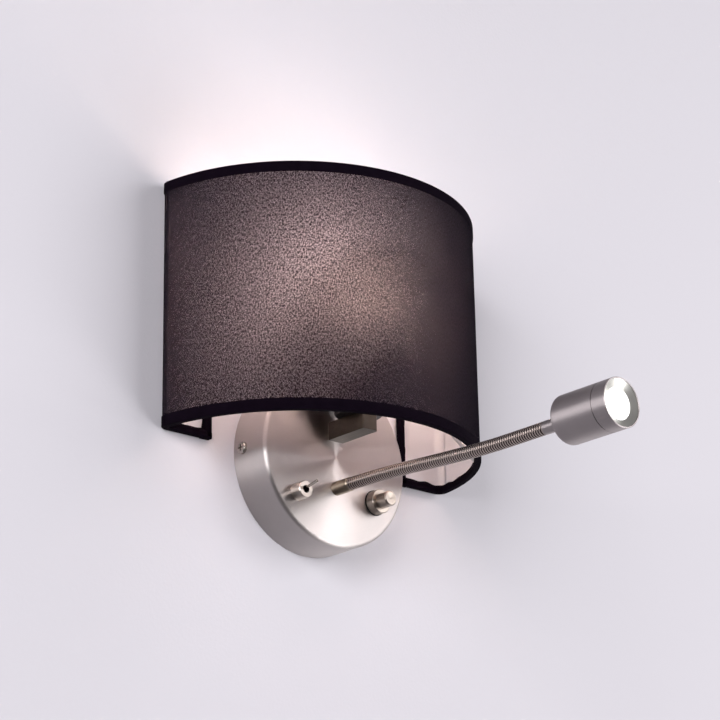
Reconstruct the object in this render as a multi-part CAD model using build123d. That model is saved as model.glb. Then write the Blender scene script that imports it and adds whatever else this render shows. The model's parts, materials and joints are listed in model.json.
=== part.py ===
from build123d import *
import os
from math import atan2, cos, pi, radians, sin, sqrt

# Bedside wall reading lamp with a half-round fabric shade and a reading light on a flexible neck.
# Millimetres. The origin is the centre of the backplate's open back, on the wall.
# +X is to the right as seen from the room, +Y points into the wall and +Z is up.
# Most pieces are placed by their distance out from the wall, which is measured along -Y.

# ---------------------------------------------------------------- fits and clearances
thread_clearance = 0.05  # radial gap between a plain modelled thread and its hole
running_clearance = 0.08  # radial gap of a piece that turns or slides in its guide
passing_clearance = 0.3  # radial gap of a hole that a piece only passes through
seat_gap = 0.05  # left between two pieces that meet end to end
edge_chamfer = 0.5  # on the front edges of the turned metal pieces
head_dome = 0.45  # rounding of a screw's head, as a share of the head's height
recess_span = 0.55  # a cross recess, as a share of the head's width
recess_slot = 0.13  # each of its slots, as a share of the head's width

# ---------------------------------------------------------------- backplate and wall bracket
canopy_diameter = 120.0
canopy_depth = 31.0
canopy_wall = 1.2
canopy_edge_radius = 2.6
side_screw_distance = 9.5
side_screw_thread = 4.0
side_screw_length = 7.0
side_screw_head = 8.0
side_screw_head_height = 2.4
bracket_width = 20.0
bracket_thickness = 1.5
bracket_tab_depth = 16.0
bracket_bend_radius = 2.5
bracket_tab_gap = 1.3  # from the tab's outer face to the canopy's wall, at mid height
wall_slot_spacing = 70.0
wall_slot_width = 4.6
wall_slot_length = 14.0
cable_entry_diameter = 14.0
earth_screw_offset = 17.0
earth_screw_thread = 4.0
earth_screw_length = 8.0
earth_screw_head = 7.5
earth_screw_head_height = 2.2
earth_screw_wall_gap = 0.4  # from the screw's end to the wall

# ---------------------------------------------------------------- arm that carries the lampholder
arm_width = 12.0
arm_height = 12.0
arm_length = 34.0
arm_bottom = 10.6
arm_wall = 1.4
arm_root_block = 8.0
arm_edge_radius = 1.0
nipple_diameter = 8.0
nipple_bore = 5.5
nipple_tail = 8.0  # what stands inside the canopy behind its wall
nut_across_flats = 12.0
nut_height = 4.0

# ---------------------------------------------------------------- lampholder and bulb
lampholder_distance = 54.0
cap_seat_radius = 15.0
cap_neck_radius = 16.0
cap_bevel_height = 1.2
cap_neck_height = 8.0
cap_height = 20.0
cap_wall = 1.8
cap_floor = 5.0
lampholder_diameter = 39.0
lampholder_shell_height = 34.0
lampholder_shell_wall = 2.0
insert_height = 7.5
socket_diameter = 26.9
socket_wall = 0.5
socket_depth = 22.0
contact_diameter = 9.0
contact_height = 1.4
bulb_cap_diameter = 26.4
bulb_cap_height = 25.0
bulb_pip_diameter = 8.0
bulb_pip_height = 2.0
bulb_shoulder_height = 4.5  # from the pip's end up to where the cap has its full width
bulb_length = 72.0
bulb_diameter = 45.0
bulb_foot_diameter = 28.0
bulb_foot_height = 3.0
bulb_body_height = 8.0
bulb_body_top_diameter = 31.0
bulb_wall = 1.2

# ---------------------------------------------------------------- shade
shade_width = 246.0
shade_depth = 112.0
shade_height = 166.0
shade_bottom = 3.5
shade_gap = 0.8  # from the wall to the back of the shade
shade_corner_radius = 6.0
return_width = 41.0  # each side's flat strip along the wall
fabric_thickness = 0.5
liner_thickness = 0.5
frame_wire = 3.0
trim_height = 7.0  # the tape's height on the fabric
hem_height = 6.0  # the tape's height on the lining
trim_thickness = 0.4
trim_slack = 0.05  # between the folded tape and the wire inside it
spider_height = 67.0  # from the origin up to the middle of the spider's ring
spider_thickness = 1.6
spider_ring_width = 7.0
spider_arm_angle = 50.0  # from straight out, round the centre of the shade's arc
shade_nut_height = 4.5
shade_nut_width = 6.0

# ---------------------------------------------------------------- toggle switch of the reading light
toggle_offset = 33.0
toggle_drop = 29.2
toggle_nut_diameter = 11.3
toggle_nut_length = 8.5
toggle_bushing_diameter = 6.4
toggle_bore = 5.0
toggle_pivot_depth = 4.5  # from the bushing's mouth in to the lever's pivot
toggle_lever_length = 16.0  # from the pivot to the tip
toggle_lever_diameter = 2.0
toggle_lever_root_diameter = 1.6
toggle_lever_tip = 0.4  # the bevel round its tip
toggle_lever_tail = 4.0
toggle_tilt = 11.0  # the lever's lean, up at rest and as much down when thrown
toggle_body_width = 8.0
toggle_body_height = 13.0
toggle_body_depth = 10.0
lug_width = 2.0
lug_thickness = 0.8
lug_length = 4.0
toggle_lug_pitch = 4.7

# ---------------------------------------------------------------- push switch of the main lamp
push_offset = 33.0
push_drop = 25.0
gasket_diameter = 17.0
gasket_thickness = 0.8
collar_diameter = 16.0
collar_length = 6.0
push_thread = 12.0
push_button_diameter = 10.2
push_button_reach = 16.0  # from the canopy's face to the button's end
push_button_tail = 4.0  # behind the canopy's face
push_button_chamfer = 0.8
push_button_rim = 0.8  # level rim between the chamfer and the dish
push_button_dish = 0.5
push_travel = 3.0
push_spring_room = 4.0  # behind the button when it is pressed in
push_body_diameter = 15.0
push_body_depth = 14.0
push_lug_spacing = 7.0

# ---------------------------------------------------------------- electrical box items
driver_width = 40.0
driver_height = 16.0
driver_depth = 15.0
driver_edge_radius = 1.5
driver_rim_gap = 3.1  # from the driver's lower corners to the canopy's inside
block_width = 30.0
block_height = 16.0
block_depth = 12.0
block_rim_gap = 9.4  # from the terminal strip's upper corners to the canopy's inside, for the wires
block_poles = 3
block_pole_gap = 2.0
block_screw_diameter = 4.0
lead_diameter = 1.5
lead_spacing = 2.0
neck_lead_diameter = 0.9
neck_lead_spacing = 1.1

# ---------------------------------------------------------------- flexible neck
neck_drop = 21.1
ferrule_diameter = 9.2
ferrule_length = 15.5
ferrule_thread = 8.0
neck_bore = 2.6
neck_crest_diameter = 8.4
neck_root_diameter = 6.9
neck_length = 171.1  # straight out from the base ferrule to the head's ferrule
neck_segments = 9
ribs_per_segment = 7
neck_sag = 6.6  # how far the neck comes down on its way out
neck_sag_run = 140.0
neck_ball_diameter = 5.0
neck_bend = 18.0  # the most that one joint turns, either way
joint_gap = 0.3  # behind each cup's face, and left over at full bend
rib_crest_start = 0.3  # shares of a rib's pitch between which its crest is level
rib_crest_end = 0.7

# ---------------------------------------------------------------- reading light's head
head_ferrule_length = 17.8
head_ferrule_end_diameter = 10.4
head_ferrule_flare = 6.5  # how much of its length widens towards the head
head_stud_diameter = 6.0
head_stud_length = 9.0
head_diameter = 30.6
head_length = 43.6
head_ring_length = 10.0
head_groove = 0.5
head_groove_depth = 0.8
head_wall = 1.5
head_back_wall = 2.0
head_back_radius = 3.0
ring_wall = 0.8
ring_chamfer = 0.25
spigot_length = 5.0
bevel_depth = 2.6
bevel_setback = 0.4  # from the ring's front back to the bevel's outer edge
lens_diameter = 19.6
lens_depth = 9.0
lens_rear_diameter = 8.0
lens_rim = 1.6
lens_setback = 0.4  # from the bevel's inner edge back to the lens
board_diameter = 20.0
board_thickness = 1.6
chip_size = 3.5
chip_height = 0.9
heat_sink_grooves = 7
heat_sink_groove = 1.2
heat_sink_core_diameter = 18.0

# ---------------------------------------------------------------- worked out from the above
canopy_radius = canopy_diameter / 2
canopy_inside = canopy_depth - canopy_wall  # distance of the canopy's inner front face
canopy_bore = canopy_radius - canopy_wall
bracket_reach = canopy_bore - bracket_tab_gap
driver_bottom = sqrt((canopy_bore - driver_rim_gap) ** 2 - (driver_width / 2) ** 2)
driver_drop = driver_bottom - driver_height / 2
block_top = sqrt((canopy_bore - block_rim_gap) ** 2 - (block_width / 2) ** 2)
block_rise = block_top - block_height / 2
arm_middle = arm_bottom + arm_height / 2
arm_top = arm_bottom + arm_height
shell_bottom = arm_top + cap_height
socket_floor = shell_bottom + insert_height
bulb_bottom = socket_floor + contact_height
half_width = shade_width / 2
arc_radius = (half_width**2 + shade_depth**2) / (2 * shade_depth)
arc_centre = arc_radius - shade_depth - shade_gap
shade_top = shade_bottom + shade_height
liner_inset = fabric_thickness + liner_thickness
wire_inset = liner_inset + trim_slack + frame_wire / 2
bottom_wire_height = shade_bottom + trim_slack + frame_wire / 2
top_wire_height = shade_top - trim_slack - frame_wire / 2
tape_inset = liner_inset + frame_wire + 2 * trim_slack
neck_start = canopy_depth + ferrule_length
ball_radius = neck_ball_diameter / 2
cup_radius = ball_radius + running_clearance
root_radius = neck_root_diameter / 2
crest_radius = neck_crest_diameter / 2
front_gap = root_radius * sin(radians(neck_bend))
head_start = neck_start + neck_length + head_ferrule_length
head_radius = head_diameter / 2
head_end = head_start + head_length
ring_start = head_end - head_ring_length
lens_front = head_end - bevel_depth - lens_setback
chip_front = lens_front - lens_depth
board_front = chip_front - chip_height


# ---------------------------------------------------------------- building blocks
def facing_out(x, distance, z):
    """Plane at a distance from the wall whose normal points straight out of the wall."""
    return Plane(origin=(x, -distance, z), x_dir=(1, 0, 0), z_dir=(0, -1, 0))


def facing_up(x, distance, z):
    """Level plane at a distance from the wall."""
    return Plane(origin=(x, -distance, z), x_dir=(1, 0, 0), z_dir=(0, 0, 1))


def turned(plane, *profile):
    """Solid turned from (radius, height) points about the plane's normal."""
    outline = Plane.XZ * make_face(Polyline(*profile, close=True))
    return plane * revolve(outline, Axis.Z)


def rod(plane, radius, length, start=0.0):
    """Cylinder along the plane's normal, from start to start + length."""
    return turned(plane, (0, start), (radius, start), (radius, start + length), (0, start + length))


def tube(plane, outer, inner, length, start=0.0):
    """Round tube along the plane's normal."""
    end = start + length
    return turned(plane, (inner, start), (outer, start), (outer, end), (inner, end))


def block(width, depth, height, x, distance, z):
    """Box centred on x and z whose side nearest the room is at this distance from the wall."""
    return Pos(x, -distance + depth / 2, z) * Box(width, depth, height)


def make_nut(z, thread):
    """Hexagon nut on the inside of the canopy's face, at this height on its middle line."""
    seat = facing_out(0, canopy_inside - nut_height, z)
    body = extrude(RegularPolygon(nut_across_flats / 2, 6, major_radius=False), nut_height)
    return seat * body - rod(seat, thread / 2 + thread_clearance, nut_height)


def pan_screw(plane, thread, length, head, head_height):
    """Pan-head screw with a cross recess: its head stands on the plane and its shank goes down."""
    knob = rod(Plane.XY, head / 2, head_height)
    knob = fillet(knob.edges().group_by(Axis.Z)[-1], head_dome * head_height)
    slot = Pos(0, 0, head_height) * Box(recess_span * head, recess_slot * head, head_height)
    shank = rod(Plane.XY, thread / 2, length, -length)
    return plane * (knob + shank - slot - Rot(0, 0, 90) * slot)


def save(name, *solids):
    """Write one named piece, or a group of like pieces, to its own file."""
    shape = solids[0] if len(solids) == 1 else Compound(children=list(solids))
    export_step(shape, f"parts/{name}.step")


# ---------------------------------------------------------------- backplate and wall bracket
def make_bracket():
    """Steel strap on the wall, with its ends bent out as tabs for the canopy's side screws."""
    strap = block(2 * bracket_reach, bracket_tab_depth, bracket_width, 0, bracket_tab_depth, 0)
    hollow = 2 * (bracket_reach - bracket_thickness)
    strap -= block(hollow, bracket_tab_depth, bracket_width, 0, bracket_tab_depth + bracket_thickness, 0)
    bends = strap.edges().filter_by(Axis.Z).group_by(Axis.Y)
    strap = fillet(bends[-1], bracket_bend_radius)
    wall = facing_out(0, 0, 0)
    slot = extrude(SlotOverall(wall_slot_length, wall_slot_width), bracket_thickness)
    for side in (-1, 1):
        strap -= wall * Pos(side * wall_slot_spacing / 2, 0, 0) * slot
        tab = Plane(origin=(0, -side_screw_distance, 0), z_dir=(side, 0, 0))
        strap -= rod(tab, side_screw_thread / 2 + thread_clearance, bracket_reach)
    strap -= rod(wall, cable_entry_diameter / 2, bracket_thickness)
    earth = facing_out(-earth_screw_offset, 0, 0)
    strap -= rod(earth, earth_screw_thread / 2 + thread_clearance, bracket_thickness)
    return strap


def make_earth_screw():
    """Screw that clamps the earth wire to the bracket, its end just short of the wall."""
    seat = facing_out(-earth_screw_offset, earth_screw_length, 0)
    shank = earth_screw_length - earth_screw_wall_gap
    return pan_screw(seat, earth_screw_thread, shank, earth_screw_head, earth_screw_head_height)


def make_canopy():
    """Spun cup that covers the bracket, with the holes of everything mounted on its face."""
    cup = rod(facing_out(0, 0, 0), canopy_radius, canopy_depth)
    cup = fillet(cup.edges().group_by(Axis.Y)[0], canopy_edge_radius)
    core = rod(facing_out(0, 0, 0), canopy_bore, canopy_inside)
    cup -= fillet(core.edges().group_by(Axis.Y)[0], canopy_edge_radius - canopy_wall)
    holes = (
        (0, arm_middle, nipple_diameter),
        (0, -neck_drop, ferrule_thread),
        (-toggle_offset, -toggle_drop, toggle_bushing_diameter),
        (push_offset, -push_drop, push_thread),
    )
    for x, z, size in holes:
        cup -= rod(facing_out(x, 0, z), size / 2 + passing_clearance, canopy_depth)
    for side in (-1, 1):
        wall = Plane(origin=(0, -side_screw_distance, 0), z_dir=(side, 0, 0))
        cup -= rod(wall, side_screw_thread / 2 + passing_clearance, canopy_radius)
    return cup


def make_side_screws():
    """The two screws that hold the canopy to the bracket's tabs."""
    screws = []
    for side in (-1, 1):
        seat = Plane(origin=(side * canopy_radius, -side_screw_distance, 0), z_dir=(side, 0, 0))
        screws.append(
            pan_screw(seat, side_screw_thread, side_screw_length, side_screw_head, side_screw_head_height)
        )
    return screws


# ---------------------------------------------------------------- arm, lampholder and bulb
def make_arm():
    """Hollow square arm: a solid root with the nipple's thread, and a hole up to the lampholder."""
    arm = block(arm_width, arm_length, arm_height, 0, canopy_depth + arm_length, arm_middle)
    arm = fillet(arm.edges().filter_by(Axis.Z).group_by(Axis.Y)[0], arm_edge_radius)
    cavity_length = arm_length - arm_root_block - arm_wall
    cavity_end = canopy_depth + arm_length - arm_wall
    inner_width = arm_width - 2 * arm_wall
    arm -= block(inner_width, cavity_length, arm_height - 2 * arm_wall, 0, cavity_end, arm_middle)
    thread = nipple_diameter / 2 + thread_clearance
    arm -= rod(facing_out(0, canopy_depth, arm_middle), thread, arm_root_block)
    arm -= rod(facing_up(0, lampholder_distance, arm_middle), thread, arm_height)
    return arm


def make_arm_nipple():
    """Threaded tube that draws the arm onto the canopy and lets the leads through."""
    start = canopy_inside - nipple_tail
    length = canopy_depth + arm_root_block - start
    return tube(facing_out(0, start, arm_middle), nipple_diameter / 2, nipple_bore / 2, length)


def make_lampholder_nipple():
    """Threaded tube between the arm's top wall and the lampholder's cap."""
    bottom = arm_top - arm_wall
    return tube(
        facing_up(0, lampholder_distance, bottom),
        nipple_diameter / 2,
        nipple_bore / 2,
        arm_wall + cap_floor,
    )


def make_lampholder_cap():
    """Moulded cap: a small round foot that widens to the shell's diameter."""
    outer = lampholder_diameter / 2
    step = (outer - cap_neck_radius) / 2
    axis = facing_up(0, lampholder_distance, arm_top)
    thread = nipple_diameter / 2 + thread_clearance
    return turned(
        axis,
        (thread, 0),
        (cap_seat_radius, 0),
        (cap_neck_radius, cap_bevel_height),
        (cap_neck_radius, cap_neck_height),
        (cap_neck_radius + step, cap_neck_height + 2 * step),
        (outer, cap_neck_height + 3 * step),
        (outer, cap_height),
        (outer - cap_wall, cap_height),
        (outer - cap_wall, cap_neck_height + 3 * step),
        (cap_neck_radius - cap_wall, cap_neck_height),
        (cap_neck_radius - cap_wall, cap_floor),
        (thread, cap_floor),
    )


def make_lampholder_shell():
    """Threaded outer sleeve of the lampholder."""
    outer = lampholder_diameter / 2
    axis = facing_up(0, lampholder_distance, shell_bottom)
    return tube(axis, outer, outer - lampholder_shell_wall, lampholder_shell_height)


def make_insert():
    """Porcelain core that carries the contacts, with two holes for the leads."""
    radius = lampholder_diameter / 2 - lampholder_shell_wall - thread_clearance
    axis = facing_up(0, lampholder_distance, shell_bottom)
    core = rod(axis, radius, insert_height)
    for side in (-1, 1):
        lead = facing_up(side * lead_spacing / 2, lampholder_distance, shell_bottom)
        core -= rod(lead, lead_diameter / 2 + thread_clearance, insert_height / 2)
    return core


def make_socket():
    """Brass screw shell that the bulb's cap turns into."""
    inner = socket_diameter / 2
    axis = facing_up(0, lampholder_distance, socket_floor)
    return tube(axis, inner + socket_wall, inner, socket_depth)


def make_contact():
    """Centre contact under the bulb's pip."""
    return rod(facing_up(0, lampholder_distance, socket_floor), contact_diameter / 2, contact_height)


def make_bulb_cap():
    """Screw cap of the bulb with its contact pip."""
    radius = bulb_cap_diameter / 2
    pip = bulb_pip_diameter / 2
    return turned(
        facing_up(0, lampholder_distance, bulb_bottom),
        (0, 0),
        (pip, 0),
        (pip, bulb_pip_height),
        (radius, bulb_shoulder_height),
        (radius, bulb_cap_height),
        (0, bulb_cap_height),
    )


def make_bulb_body():
    """White collar of the bulb, from its cap up to the globe."""
    foot = bulb_foot_diameter / 2
    return turned(
        facing_up(0, lampholder_distance, bulb_bottom + bulb_cap_height),
        (0, 0),
        (foot, 0),
        (foot, bulb_foot_height),
        (bulb_body_top_diameter / 2, bulb_body_height),
        (0, bulb_body_height),
    )


def make_globe():
    """Frosted globe of the bulb: part of a hollow sphere."""
    radius = bulb_diameter / 2
    rim = bulb_body_top_diameter / 2
    middle = bulb_bottom + bulb_length - radius
    rim_height = bulb_bottom + bulb_cap_height + bulb_body_height
    cut = Pos(0, -lampholder_distance, rim_height - radius) * Box(3 * rim, 3 * rim, 2 * radius)
    ball = Sphere(radius) - Sphere(radius - bulb_wall)
    return Pos(0, -lampholder_distance, middle) * ball - cut


# ---------------------------------------------------------------- shade
def outward(angle):
    """Unit vector in plan that points away from the wall at angle 0 and to the right at 90."""
    return Vector(sin(angle), -cos(angle))


def flipped(point):
    """The same point on the shade's left side."""
    return Vector(-point.X, point.Y)


def shade_line(inset, end_gap=0.0):
    """Line round the shade in plan, this far inside its face, from one return's end to the other."""
    corner_y = -shade_gap - shade_corner_radius
    reach = arc_radius - shade_corner_radius
    corner_x = sqrt(reach**2 - (corner_y - arc_centre) ** 2)
    lean = atan2(corner_x, arc_centre - corner_y)
    middle = Vector(corner_x, corner_y)
    radius = shade_corner_radius - inset
    front = Vector(0, arc_centre - arc_radius + inset)
    arc_end = middle + outward(lean) * radius
    halfway = middle + outward((lean + pi) / 2) * radius
    turn_end = middle + outward(pi) * radius
    end = Vector(half_width - return_width + end_gap, turn_end.Y)
    return Wire(
        [
            Line(flipped(end), flipped(turn_end)),
            ThreePointArc(flipped(turn_end), flipped(halfway), flipped(arc_end)),
            ThreePointArc(flipped(arc_end), front, arc_end),
            ThreePointArc(arc_end, halfway, turn_end),
            Line(turn_end, end),
        ]
    )


def shade_sheet(outer_inset, inner_inset):
    """Upright sheet that follows the shade's plan between two insets, over its full height."""
    outside = shade_line(outer_inset)
    inside = shade_line(inner_inset)
    ends = [Line(outside @ 0, inside @ 0), Line(outside @ 1, inside @ 1)]
    plan = make_face(outside.edges() + inside.edges() + ends)
    return Pos(0, 0, shade_bottom) * extrude(plan, shade_height)


def along_edge(section, height, inset=0.0, end_gap=0.0):
    """Solid swept round the shade at a height. The section's x points in, and its y points up."""
    path = Pos(0, 0, height) * shade_line(inset, end_gap)
    start = Plane(origin=path @ 0, x_dir=(0, -1, 0), z_dir=(-1, 0, 0))
    return sweep(start * section, path=path)


def tape_section(rise):
    """Tape folded round the shade's edge and its wire; rise is 1 at a bottom edge, -1 at a top one."""
    fold = frame_wire + 2 * trim_slack
    hem = liner_inset + seat_gap
    outline = (
        (-trim_thickness, -trim_thickness),
        (-trim_thickness, trim_height),
        (0, trim_height),
        (0, 0),
        (tape_inset, 0),
        (tape_inset, fold),
        (hem, hem_height),
        (hem + trim_thickness, hem_height),
        (tape_inset + trim_thickness, fold),
        (tape_inset + trim_thickness, -trim_thickness),
    )
    return make_face(Polyline(*[(inset, rise * height) for inset, height in outline], close=True))


def spider_arm(angle, radius):
    """Wire from the spider's ring down to the bottom wire, at this angle round the shade's arc."""
    hub = Vector(0, -lampholder_distance, spider_height)
    foot_plan = outward(radians(angle)) * (arc_radius - wire_inset)
    foot = Vector(foot_plan.X, arc_centre + foot_plan.Y, bottom_wire_height)
    flat = Vector(foot.X, foot.Y + lampholder_distance, 0)
    ring_middle = lampholder_diameter / 2 + passing_clearance + spider_ring_width / 2
    start = hub + flat.normalized() * ring_middle
    run = foot - start
    return rod(Plane(origin=start, z_dir=run), radius, run.length)


def make_spider():
    """Ring that the lampholder clamps, welded to three wires that carry the shade's frame."""
    inner = lampholder_diameter / 2 + passing_clearance
    axis = facing_up(0, lampholder_distance, spider_height - spider_thickness / 2)
    ring = tube(axis, inner + spider_ring_width, inner, spider_thickness)
    above = rod(axis, inner + spider_ring_width, frame_wire, spider_thickness)
    for angle in (-spider_arm_angle, 0, spider_arm_angle):
        ring += spider_arm(angle, frame_wire / 2) - above
    return ring


def make_bottom_trim():
    """Bottom tape, slit where the spider's wires pass through it."""
    tape = along_edge(tape_section(1), shade_bottom, end_gap=trim_height)
    for angle in (-spider_arm_angle, 0, spider_arm_angle):
        tape -= spider_arm(angle, frame_wire / 2 + trim_slack)
    return tape


def make_frame_wire(height):
    """Frame wire round the shade at a height, out to the two upright edges."""
    return along_edge(Circle(frame_wire / 2), height, inset=wire_inset, end_gap=trim_slack)


def make_end_trims():
    """Tapes folded round the two upright edges by the wall, cut back inside where the wires turn."""
    edge = half_width - return_width
    section = Plane(origin=(edge, -shade_gap, 0), x_dir=(0, -1, 0), z_dir=(0, 0, 1))
    tape = extrude(section * tape_section(1), shade_height + 2 * trim_thickness)
    right = Pos(0, 0, shade_bottom - trim_thickness) * tape
    inner_face = tape_inset + trim_thickness
    for height in (shade_bottom, shade_top):
        right -= block(
            trim_height,
            inner_face - liner_inset,
            2 * trim_height,
            edge + trim_height / 2,
            shade_gap + inner_face,
            height,
        )
    return right, mirror(right, about=Plane.YZ)


def make_uprights(low, high):
    """Two upright wires that join the top and bottom wires at the returns' ends."""
    x = half_width - return_width + trim_slack + frame_wire / 2
    inset = shade_gap + wire_inset
    gap = frame_wire / 2
    length = high - low - 2 * gap
    return [rod(facing_up(side * x, inset, low + gap), frame_wire / 2, length) for side in (-1, 1)]


def make_shade_nuts():
    """Two threaded rings on the lampholder's shell, one below the spider's ring and one above."""
    inner = lampholder_diameter / 2 + thread_clearance
    below = spider_height - spider_thickness / 2 - shade_nut_height
    above = spider_height + spider_thickness / 2
    width = inner + shade_nut_width
    axis = facing_up(0, lampholder_distance, 0)
    lower = tube(axis, width, inner, shade_nut_height, below)
    for angle in (-spider_arm_angle, 0, spider_arm_angle):
        lower -= spider_arm(angle, frame_wire / 2 + passing_clearance)
    return lower, tube(axis, width, inner, shade_nut_height, above)


# ---------------------------------------------------------------- switches
def make_toggle_body():
    """Moulded case of the toggle switch, with the well that the lever's tail moves in."""
    case = block(
        toggle_body_width,
        toggle_body_depth,
        toggle_body_height,
        -toggle_offset,
        canopy_inside,
        -toggle_drop,
    )
    well = facing_out(-toggle_offset, canopy_inside - toggle_body_depth / 2, -toggle_drop)
    return case - rod(well, toggle_bore / 2, toggle_body_depth / 2)


def make_toggle_lugs():
    """Three solder lugs behind the toggle switch."""
    start = canopy_inside - toggle_body_depth
    lugs = []
    for step in (-1, 0, 1):
        z = -toggle_drop + step * toggle_lug_pitch
        lugs.append(block(lug_width, lug_length, lug_thickness, -toggle_offset, start, z))
    return lugs


def make_toggle_bushing():
    """Threaded bushing that the lever pivots in, flush with the nut's mouth."""
    axis = facing_out(-toggle_offset, canopy_inside, -toggle_drop)
    length = canopy_wall + toggle_nut_length
    return tube(axis, toggle_bushing_diameter / 2, toggle_bore / 2, length)


def make_toggle_nut():
    """Round dress nut on the bushing."""
    axis = facing_out(-toggle_offset, canopy_depth, -toggle_drop)
    inner = toggle_bushing_diameter / 2 + thread_clearance
    nut = tube(axis, toggle_nut_diameter / 2, inner, toggle_nut_length)
    return chamfer(nut.edges().group_by(Axis.Y)[0].sort_by(SortBy.LENGTH)[-1], edge_chamfer)


def make_toggle_lever():
    """Bat lever with its pivot ball, leaning up."""
    pivot_distance = canopy_depth + toggle_nut_length - toggle_pivot_depth
    lean = radians(toggle_tilt)
    pivot = Plane(
        origin=(-toggle_offset, -pivot_distance, -toggle_drop),
        x_dir=(1, 0, 0),
        z_dir=(0, -cos(lean), sin(lean)),
    )
    radius = toggle_lever_diameter / 2
    bat = turned(
        pivot,
        (0, -toggle_lever_tail),
        (toggle_lever_root_diameter / 2, -toggle_lever_tail),
        (toggle_lever_root_diameter / 2, 0),
        (radius, toggle_lever_length - toggle_lever_tip),
        (radius - toggle_lever_tip, toggle_lever_length),
        (0, toggle_lever_length),
    )
    return bat + pivot * Sphere(toggle_bore / 2 - running_clearance)


def make_push_body():
    """Round case of the push switch, with the bore that its button moves in."""
    case = facing_out(push_offset, canopy_inside - push_body_depth, -push_drop)
    bottom = canopy_depth - push_button_tail - push_travel - push_spring_room
    well = facing_out(push_offset, bottom, -push_drop)
    bore = push_button_diameter / 2 + running_clearance
    return rod(case, push_body_diameter / 2, push_body_depth) - rod(well, bore, push_body_depth)


def make_push_lugs():
    """Two solder lugs behind the push switch."""
    start = canopy_inside - push_body_depth
    lugs = []
    for side in (-1, 1):
        x = push_offset + side * push_lug_spacing / 2
        lugs.append(block(lug_thickness, lug_length, lug_width, x, start, -push_drop))
    return lugs


def make_push_bushing():
    """Threaded sleeve that guides the button through the canopy's face."""
    axis = facing_out(push_offset, canopy_inside, -push_drop)
    bore = push_button_diameter / 2 + running_clearance
    return tube(axis, push_thread / 2, bore, canopy_wall + gasket_thickness + collar_length)


def make_gasket():
    """Black sealing washer between the canopy and the collar."""
    axis = facing_out(push_offset, canopy_depth, -push_drop)
    return tube(axis, gasket_diameter / 2, push_thread / 2 + passing_clearance, gasket_thickness)


def make_collar():
    """Smooth round collar that screws onto the bushing."""
    axis = facing_out(push_offset, canopy_depth + gasket_thickness, -push_drop)
    collar = tube(axis, collar_diameter / 2, push_thread / 2 + thread_clearance, collar_length)
    return chamfer(collar.edges().group_by(Axis.Y)[0].sort_by(SortBy.LENGTH)[-1], edge_chamfer)


def make_button():
    """Push button: a plain cylinder with a chamfered, slightly dished end."""
    axis = facing_out(push_offset, canopy_depth - push_button_tail, -push_drop)
    radius = push_button_diameter / 2
    length = push_button_tail + push_button_reach
    return turned(
        axis,
        (0, 0),
        (radius, 0),
        (radius, length - push_button_chamfer),
        (radius - push_button_chamfer, length),
        (radius - push_button_chamfer - push_button_rim, length),
        (0, length - push_button_dish),
    )


# ---------------------------------------------------------------- inside the canopy
def make_driver():
    """Current driver of the reading light, stuck to the inside of the canopy's face."""
    case = block(driver_width, driver_depth, driver_height, 0, canopy_inside, -driver_drop)
    return fillet(case.edges().filter_by(Axis.Y), driver_edge_radius)


def make_terminal_block():
    """Three-pole terminal strip: a mains connection, with a screw well over each pole."""
    pitch = block_width / block_poles
    step = canopy_inside - block_depth / 2
    strip = block(block_width, block_depth / 2, block_height, 0, canopy_inside, block_rise)
    for pole in range(block_poles):
        x = (pole - (block_poles - 1) / 2) * pitch
        strip += block(pitch - block_pole_gap, block_depth / 2, block_height, x, step, block_rise)
        back = facing_out(x, canopy_inside - block_depth, block_rise)
        strip -= rod(back, block_screw_diameter / 2, block_depth / 2)
    return strip


def bent_leads(diameter, spacing, *points, bends):
    """Two like leads side by side along a route in the plane X = 0, with round bends."""
    leads = []
    for side in (-1, 1):
        x = side * spacing / 2
        route = FilletPolyline(*[(x, -distance, z) for distance, z in points], radius=bends)
        start = Plane(origin=route @ 0, z_dir=route % 0)
        leads.append(sweep(start * Circle(diameter / 2), path=route))
    return leads


def make_lamp_leads():
    """Leads from the terminal strip through the arm and up into the lampholder."""
    behind = canopy_inside - nipple_tail - 2 * lead_diameter
    block_bottom = block_rise - block_height / 2
    top = shell_bottom + insert_height / 2
    return bent_leads(
        lead_diameter,
        lead_spacing,
        (behind, block_bottom),
        (behind, arm_middle),
        (lampholder_distance, arm_middle),
        (lampholder_distance, top),
        bends=2 * lead_diameter,
    )


def make_neck_leads():
    """Leads from the driver into the neck's base ferrule."""
    behind = canopy_inside - nipple_tail - 3 * neck_lead_diameter
    driver_top = -driver_drop + driver_height / 2
    return bent_leads(
        neck_lead_diameter,
        neck_lead_spacing,
        (behind, driver_top),
        (behind, -neck_drop),
        (neck_start - 2 * ball_radius, -neck_drop),
        bends=3 * neck_lead_diameter,
    )


# ---------------------------------------------------------------- flexible neck
def neck_joint(index):
    """Centre of one of the neck's joints, on a line that sags a little on its way out."""
    run = index * neck_length / neck_segments
    share = min(1.0, run / neck_sag_run)
    drop = neck_drop + neck_sag * share**2 * (3 - 2 * share)
    return Vector(0, -(neck_start + run), -drop)


def make_base_ferrule():
    """Plain ferrule on the canopy's face, threaded through it, with the neck's first ball."""
    axis = facing_out(0, 0, -neck_drop)
    body = rod(axis, ferrule_diameter / 2, ferrule_length - front_gap - joint_gap, canopy_depth)
    body = chamfer(body.edges().group_by(Axis.Y)[0], edge_chamfer)
    body += rod(axis, ferrule_thread / 2, canopy_wall + nipple_tail, canopy_inside - nipple_tail)
    body += Pos(0, -neck_start, -neck_drop) * Sphere(ball_radius)
    return body - rod(axis, neck_bore / 2, 2 * neck_start)


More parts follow.
